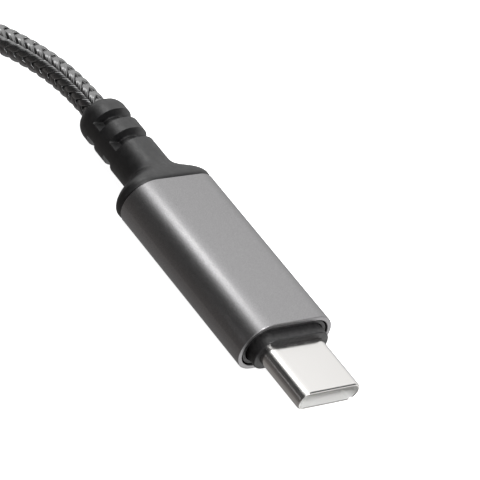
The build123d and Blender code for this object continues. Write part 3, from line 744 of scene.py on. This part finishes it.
def closed_foam():
    """Soft black foam with small closed cells."""
    made = shader("foam_black", (0.02, 0.02, 0.02), 0.85)
    place = node(made, "ShaderNodeTexCoord")
    cells = node(made, "ShaderNodeTexVoronoi")
    cells.inputs["Scale"].default_value = 1 / (0.2 * MM)
    wire(made, place.outputs["Object"], cells.inputs["Vector"])
    relief_of_cells = node(made, "ShaderNodeBump")
    relief_of_cells.inputs["Strength"].default_value = 0.7
    relief_of_cells.inputs["Distance"].default_value = 0.03 * MM
    wire(made, cells.outputs["Distance"], relief_of_cells.inputs["Height"])
    wire(made, relief_of_cells.outputs["Normal"], principled_of(made).inputs["Normal"])
    tint(made, noise(made, 0.4, 2.0), (0.015, 0.015, 0.015), (0.028, 0.028, 0.028))
    return made


def display_glass(name, color, roughness, **sockets):
    """Polished sheet with faint smears in its gloss."""
    made = shader(name, color, roughness, **sockets)
    vary_roughness(made, noise(made, 3.0, 4.0, 0.6), roughness * 0.6, roughness * 2.2)
    bump(made, noise(made, 6.0, 1.0), 0.002, 0.3)
    return made


GOLD = metal("gold_plate", (0.85, 0.62, 0.26), 0.22, 0.15, 0.002)
STEEL = metal("spring_steel", (0.62, 0.61, 0.60), 0.28, 0.12, 0.003)
COPPER = metal("tinned_copper", (0.72, 0.60, 0.48), 0.35, 0.2, 0.004)
SCREW = metal("screw_black", (0.09, 0.09, 0.092), 0.32, 0.1, 0.003)
BOARD = solder_mask()
CHIP = moulded("chip_epoxy", (0.035, 0.035, 0.037), 0.45, 0.08, 0.004)
WIRE = moulded("wire_sleeve", (0.35, 0.03, 0.025), 0.4, 0.3, 0.004)
FOAM = closed_foam()
PANEL = display_glass("panel_glass", (0.006, 0.007, 0.010), 0.08)
LENS = display_glass("smoked_lens", (0.55, 0.57, 0.6), 0.03, IOR=1.49, Transmission_Weight=1.0)
CARRIER = moulded("carrier_plastic", (0.6, 0.6, 0.58), 0.5, 0.2, 0.004)
INSULATOR = moulded("insulator_plastic", (0.022, 0.022, 0.023), 0.45, 0.12, 0.003)
PALE_INSULATOR = moulded("pale_insulator", (0.82, 0.82, 0.8), 0.5, 0.15, 0.002)

finish_cad(["meter_sleeve"], ANODISED)
finish_cad(["socket_end_cap", "cable_end_cap"], CAP)
finish_cad(["mode_button", "switch_plunger"], BUTTON)
finish_cad(["case_screws"], SCREW)
finish_cad(["display_lens"], LENS)
finish_cad(["lens_tape", "display_gasket"], FOAM)
finish_cad(["display_panel"], PANEL)
finish_cad(["display_carrier"], CARRIER)
finish_cad(["display_flex", "current_shunt", "plug_crimp", "meter_crimp"], COPPER)
finish_cad(["main_board", "plug_card"], BOARD)
finish_cad(["controller_chip", "supply_inductor", "board_small_parts", "plug_chip",
            "plug_small_parts"], CHIP)
finish_cad(["socket_shell"], PLATED)
finish_cad(["socket_tongue", "switch_body"], INSULATOR)
finish_cad(["plug_insulator"], PALE_INSULATOR)
finish_cad(["socket_contacts_upper", "socket_contacts_lower", "plug_contacts_upper",
            "plug_contacts_lower"], GOLD)
finish_cad(["plug_latch_plate", "plug_ground_springs", "plug_shield_upper",
            "plug_shield_lower", "switch_dome"], STEEL)
finish_cad(["plug_wires", "meter_wires"], WIRE)
finish_cad(["plug_cable_tail", "meter_cable_tail"], CORE)

# Seven-segment figures: which of the segments (top, upper right, lower right, bottom,
# lower left, upper left, middle) are lit.
LIT = {
    "0": "1111110", "1": "0110000", "2": "1101101", "3": "1111001", "4": "0110011",
    "5": "1011011", "6": "1011111", "7": "1110000", "8": "1111111", "9": "1111011",
}
SEGMENT_HEIGHT = 0.06
FIGURE_HEIGHT = 4.0
FIGURE_MARGIN = 3.2         # from the window's left end to the readings
ROW_OFFSET = 3.0            # of each reading from the window's middle
LEVELS = 8
LEVELS_LIT = 5
LEVEL_PITCH = 1.4
LEVEL_HALF = 0.4
LEVEL_SHORTEST = 1.2
LEVEL_GROWTH = 0.3
GAUGE_MARGIN = 5.6          # from the gauge's left end to the window's right end
# Parts of a figure's height.
FIGURE_WIDTH = 0.52
FIGURE_SPACE = 0.3
BAR_WIDTH = 0.12
BAR_SHARE = 0.92            # of its place that a bar fills
# The point, in widths of a bar.
DOT_BACK = 1.1
DOT_RISE = 0.4
DOT_RADIUS = 0.7


def segment(centre, length, width, upright):
    """One six-sided bar of a figure, as points of its outline."""
    half, point = length / 2, width / 2
    flat = [(-half, 0), (-half + point, -point), (half - point, -point),
            (half, 0), (half - point, point), (-half + point, point)]
    if upright:
        flat = [(-across, along) for along, across in flat]
    return [(centre[0] + x, centre[1] + y) for x, y in flat]


def figure(text, left, middle, height):
    """Outlines of a number's lit segments and points, reading along +X from left."""
    width = height * FIGURE_WIDTH
    bar = height * BAR_WIDTH
    slots = []
    for letter in text:
        if letter == ".":
            x = left - bar * DOT_BACK
            y = middle - height / 2 + bar * DOT_RISE
            around = [math.pi / 3 * step for step in range(6)]
            slots.append([(x + bar * math.cos(turn) * DOT_RADIUS,
                           y + bar * math.sin(turn) * DOT_RADIUS) for turn in around])
            continue
        places = [
            ((left + width / 2, middle + height / 2), width, False),
            ((left + width, middle + height / 4), height / 2, True),
            ((left + width, middle - height / 4), height / 2, True),
            ((left + width / 2, middle - height / 2), width, False),
            ((left, middle - height / 4), height / 2, True),
            ((left, middle + height / 4), height / 2, True),
            ((left + width / 2, middle), width, False),
        ]
        for lit, (centre, length, upright) in zip(LIT[letter], places):
            if lit == "1":
                slots.append(segment(centre, length * BAR_SHARE, bar, upright))
        left += width + height * FIGURE_SPACE
    return slots


def raised(name, outlines, bottom, top, material):
    """Low prisms from flat outlines given in the pod frame."""
    points = []
    faces = []
    for outline_points in outlines:
        base = len(points)
        count = len(outline_points)
        points += [(x, y, bottom) for x, y in outline_points]
        points += [(x, y, top) for x, y in outline_points]
        faces.append(tuple(base + number for number in range(count))[::-1])
        faces.append(tuple(base + count + number for number in range(count)))
        for number in range(count):
            after = (number + 1) % count
            faces.append((base + number, base + after, base + count + after, base + count + number))
    return make_object(name, points, faces, material, POD, 20)


def glowing(name, color, strength):
    """Lit display segments with a slight unevenness."""
    made = shader(name, color, 0.5)
    principled = principled_of(made)
    principled.inputs["Emission Strength"].default_value = strength
    glow = noise(made, 1.5, 1.0)
    ramp = node(made, "ShaderNodeValToRGB")
    ramp.color_ramp.elements[0].color = (*(part * 0.8 for part in color), 1)
    ramp.color_ramp.elements[1].color = (*color, 1)
    wire(made, glow.outputs["Fac"], ramp.inputs["Fac"])
    wire(made, ramp.outputs["Color"], principled.inputs["Emission Color"])
    return made


def make_display():
    """Two readings and a bar gauge that stand on the panel, under the lens."""
    bottom = span("display_panel", POD)[1][2]
    top = bottom + SEGMENT_HEIGHT
    window_low, window_high = span("display_lens", POD)
    middle = (window_low + window_high) / 2
    left = window_low[0] + FIGURE_MARGIN
    upper = figure("05.12", left, middle[1] + ROW_OFFSET, FIGURE_HEIGHT)
    lower = figure("1.840", left, middle[1] - ROW_OFFSET, FIGURE_HEIGHT)
    gauge = []
    for number in range(LEVELS):
        y = middle[1] + (number - (LEVELS - 1) / 2) * LEVEL_PITCH
        x = window_high[0] - GAUGE_MARGIN
        wide = LEVEL_SHORTEST + LEVEL_GROWTH * number
        low, high = y - LEVEL_HALF, y + LEVEL_HALF
        gauge.append([(x, low), (x + wide, low), (x + wide, high), (x, high)])
    cyan = glowing("cyan_segments", (0.35, 0.85, 1.0), 1.6)
    amber = glowing("amber_segments", (1.0, 0.72, 0.25), 1.6)
    green = glowing("green_segments", (0.4, 1.0, 0.5), 1.2)
    unlit = plain_black("unlit_segments", 0.03, 0.4)
    return [
        raised("upper_reading", upper, bottom, top, cyan),
        raised("lower_reading", lower, bottom, top, amber),
        raised("level_gauge", gauge[:LEVELS_LIT], bottom, top, green),
        raised("unlit_gauge", gauge[LEVELS_LIT:], bottom, top, unlit),
    ]


for piece in make_display():
    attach(piece, "meter")

# ---------------------------------------------------------------- floor and lights


def make_floor():
    """Plain pale light table. Only the camera sees it, so it throws no light up at the metal."""
    points = [(-FLOOR_HALF, -FLOOR_HALF, 0), (FLOOR_HALF, -FLOOR_HALF, 0),
              (FLOOR_HALF, FLOOR_HALF, 0), (-FLOOR_HALF, FLOOR_HALF, 0)]
    made = shader("floor_paper", (0.93, 0.93, 0.93), 0.9)
    principled = principled_of(made)
    principled.inputs["Emission Color"].default_value = (1, 1, 1, 1)
    principled.inputs["Emission Strength"].default_value = FLOOR_GLOW
    floor = make_object("floor", points, [(0, 1, 2, 3)], made)
    floor.visible_glossy = False
    floor.visible_diffuse = False


def round_patch(tree, place, direction, inner, outer, around, within):
    """A value that turns from around to within over a soft disc of the surroundings.

    direction is along the plug, to its left and up; inner and outer are the disc's angles."""
    facing = tree.nodes.new("ShaderNodeVectorMath")
    facing.operation = "DOT_PRODUCT"
    turn = Matrix((plug_forward, plug_left, UP)).transposed()
    facing.inputs[1].default_value = (turn @ Vector(direction)).normalized()
    tree.links.new(place.outputs["Generated"], facing.inputs[0])
    patch = tree.nodes.new("ShaderNodeMapRange")
    patch.interpolation_type = "SMOOTHSTEP"
    patch.inputs["From Min"].default_value = math.cos(outer)
    patch.inputs["From Max"].default_value = math.cos(inner)
    patch.inputs["To Min"].default_value = around
    patch.inputs["To Max"].default_value = within
    tree.links.new(facing.outputs["Value"], patch.inputs["Value"])
    return patch.outputs["Result"]


def make_world():
    """Studio surroundings as bands of light that run along the plug, by angle round it.

    0 degrees is level on the plug's left and 90 degrees is overhead."""
    world = bpy.data.worlds.new("studio")
    bpy.context.scene.world = world
    world.use_nodes = True
    tree = world.node_tree
    place = tree.nodes.new("ShaderNodeTexCoord")
    parts = []
    for direction in (UP, plug_left):
        part = tree.nodes.new("ShaderNodeVectorMath")
        part.operation = "DOT_PRODUCT"
        part.inputs[1].default_value = direction
        tree.links.new(place.outputs["Generated"], part.inputs[0])
        parts.append(part.outputs["Value"])
    angle = tree.nodes.new("ShaderNodeMath")
    angle.operation = "ARCTAN2"
    tree.links.new(parts[0], angle.inputs[0])
    tree.links.new(parts[1], angle.inputs[1])
    share = tree.nodes.new("ShaderNodeMapRange")
    share.inputs["From Min"].default_value = -math.pi
    share.inputs["From Max"].default_value = math.pi
    tree.links.new(angle.outputs["Value"], share.inputs["Value"])
    ramp = tree.nodes.new("ShaderNodeValToRGB")
    while len(ramp.color_ramp.elements) < len(STUDIO_BANDS):
        ramp.color_ramp.elements.new(0.5)
    for element, (degrees, brightness, warmth) in zip(ramp.color_ramp.elements, STUDIO_BANDS):
        element.position = (degrees + 180) / 360
        level = brightness / STUDIO_PEAK
        element.color = (level * (1 + warmth), level, level * (1 - warmth / 2), 1)
    tree.links.new(share.outputs["Result"], ramp.inputs["Fac"])
    black_flag = round_patch(tree, place, FLAG_DIRECTION, FLAG_INNER, FLAG_OUTER, 1, FLAG_LEVEL)
    white_card = round_patch(tree, place, CARD_DIRECTION, CARD_INNER, CARD_OUTER, 0, CARD_LEVEL)
    shaded = tree.nodes.new("ShaderNodeVectorMath")
    shaded.operation = "SCALE"
    tree.links.new(ramp.outputs["Color"], shaded.inputs[0])
    tree.links.new(black_flag, shaded.inputs["Scale"])
    lit = tree.nodes.new("ShaderNodeVectorMath")
    lit.operation = "ADD"
    tree.links.new(shaded.outputs["Vector"], lit.inputs[0])
    tree.links.new(white_card, lit.inputs[1])
    background = tree.nodes["Background"]
    background.inputs["Strength"].default_value = STUDIO_PEAK
    tree.links.new(lit.outputs["Vector"], background.inputs["Color"])


def make_softbox(name, place, size, power):
    """A square area light aimed at the camera's target.

    place is its offset from there in metres: ahead of the plug, to its left and up."""
    data = bpy.data.lights.new(name, "AREA")
    data.shape = "RECTANGLE"
    data.size, data.size_y = size
    data.energy = power
    light = bpy.data.objects.new(name, data)
    bpy.context.scene.collection.objects.link(light)
    turn = Matrix((plug_forward, plug_left, UP)).transposed()
    light.location = CAMERA_TARGET + turn @ Vector(place)
    light.rotation_mode = "QUATERNION"
    light.rotation_quaternion = (CAMERA_TARGET - light.location).to_track_quat("-Z", "Y")


FLOOR_HALF = 3
FLOOR_GLOW = 0.95
STUDIO_PEAK = 2.0
FLAG_DIRECTION = (0.42, 0.62, 0.66)     # a black flag ahead of the plug, above its left side
FLAG_INNER = math.radians(18)
FLAG_OUTER = math.radians(30)
FLAG_LEVEL = 0.08
CARD_DIRECTION = (0.5, 0.66, -0.56)     # a white card ahead of the plug, low on its left side
CARD_INNER = math.radians(16)
CARD_OUTER = math.radians(30)
CARD_LEVEL = 0.4
# Places in metres, sizes in metres and powers in watts.
SOFTBOX_PLACE = (-0.30, -0.09, 0.51)
SOFTBOX_SIZE = (0.20, 0.20)
SOFTBOX_POWER = 0.36
FILL_PLACE = (0.050, -0.006, 0.054)
FILL_SIZE = (0.018, 0.018)
FILL_POWER = 0.024
# Angle round the plug in degrees, brightness, warmth.
STUDIO_BANDS = [
    (-180, 0.07, 0.06),
    (-155, 0.10, 0.06),
    (-140, 0.17, 0.06),
    (-100, 0.25, 0.03),
    (-60, 0.26, 0.0),
    (-40, 0.24, 0.0),
    (-20, 0.38, 0.0),
    (20, 0.82, 0.0),
    (50, 1.02, 0.0),
    (88, 1.15, 0.0),
    (109, 1.15, 0.0),
    (126, 0.2, 0.0),
    (134, 0.03, 0.0),
    (150, 0.05, 0.0),
    (168, 0.06, 0.03),
    (180, 0.07, 0.06),
]

make_floor()
make_world()
make_softbox("softbox", SOFTBOX_PLACE, SOFTBOX_SIZE, SOFTBOX_POWER)
make_softbox("mouth_fill", FILL_PLACE, FILL_SIZE, FILL_POWER)
bpy.context.scene.view_settings.view_transform = "Standard"
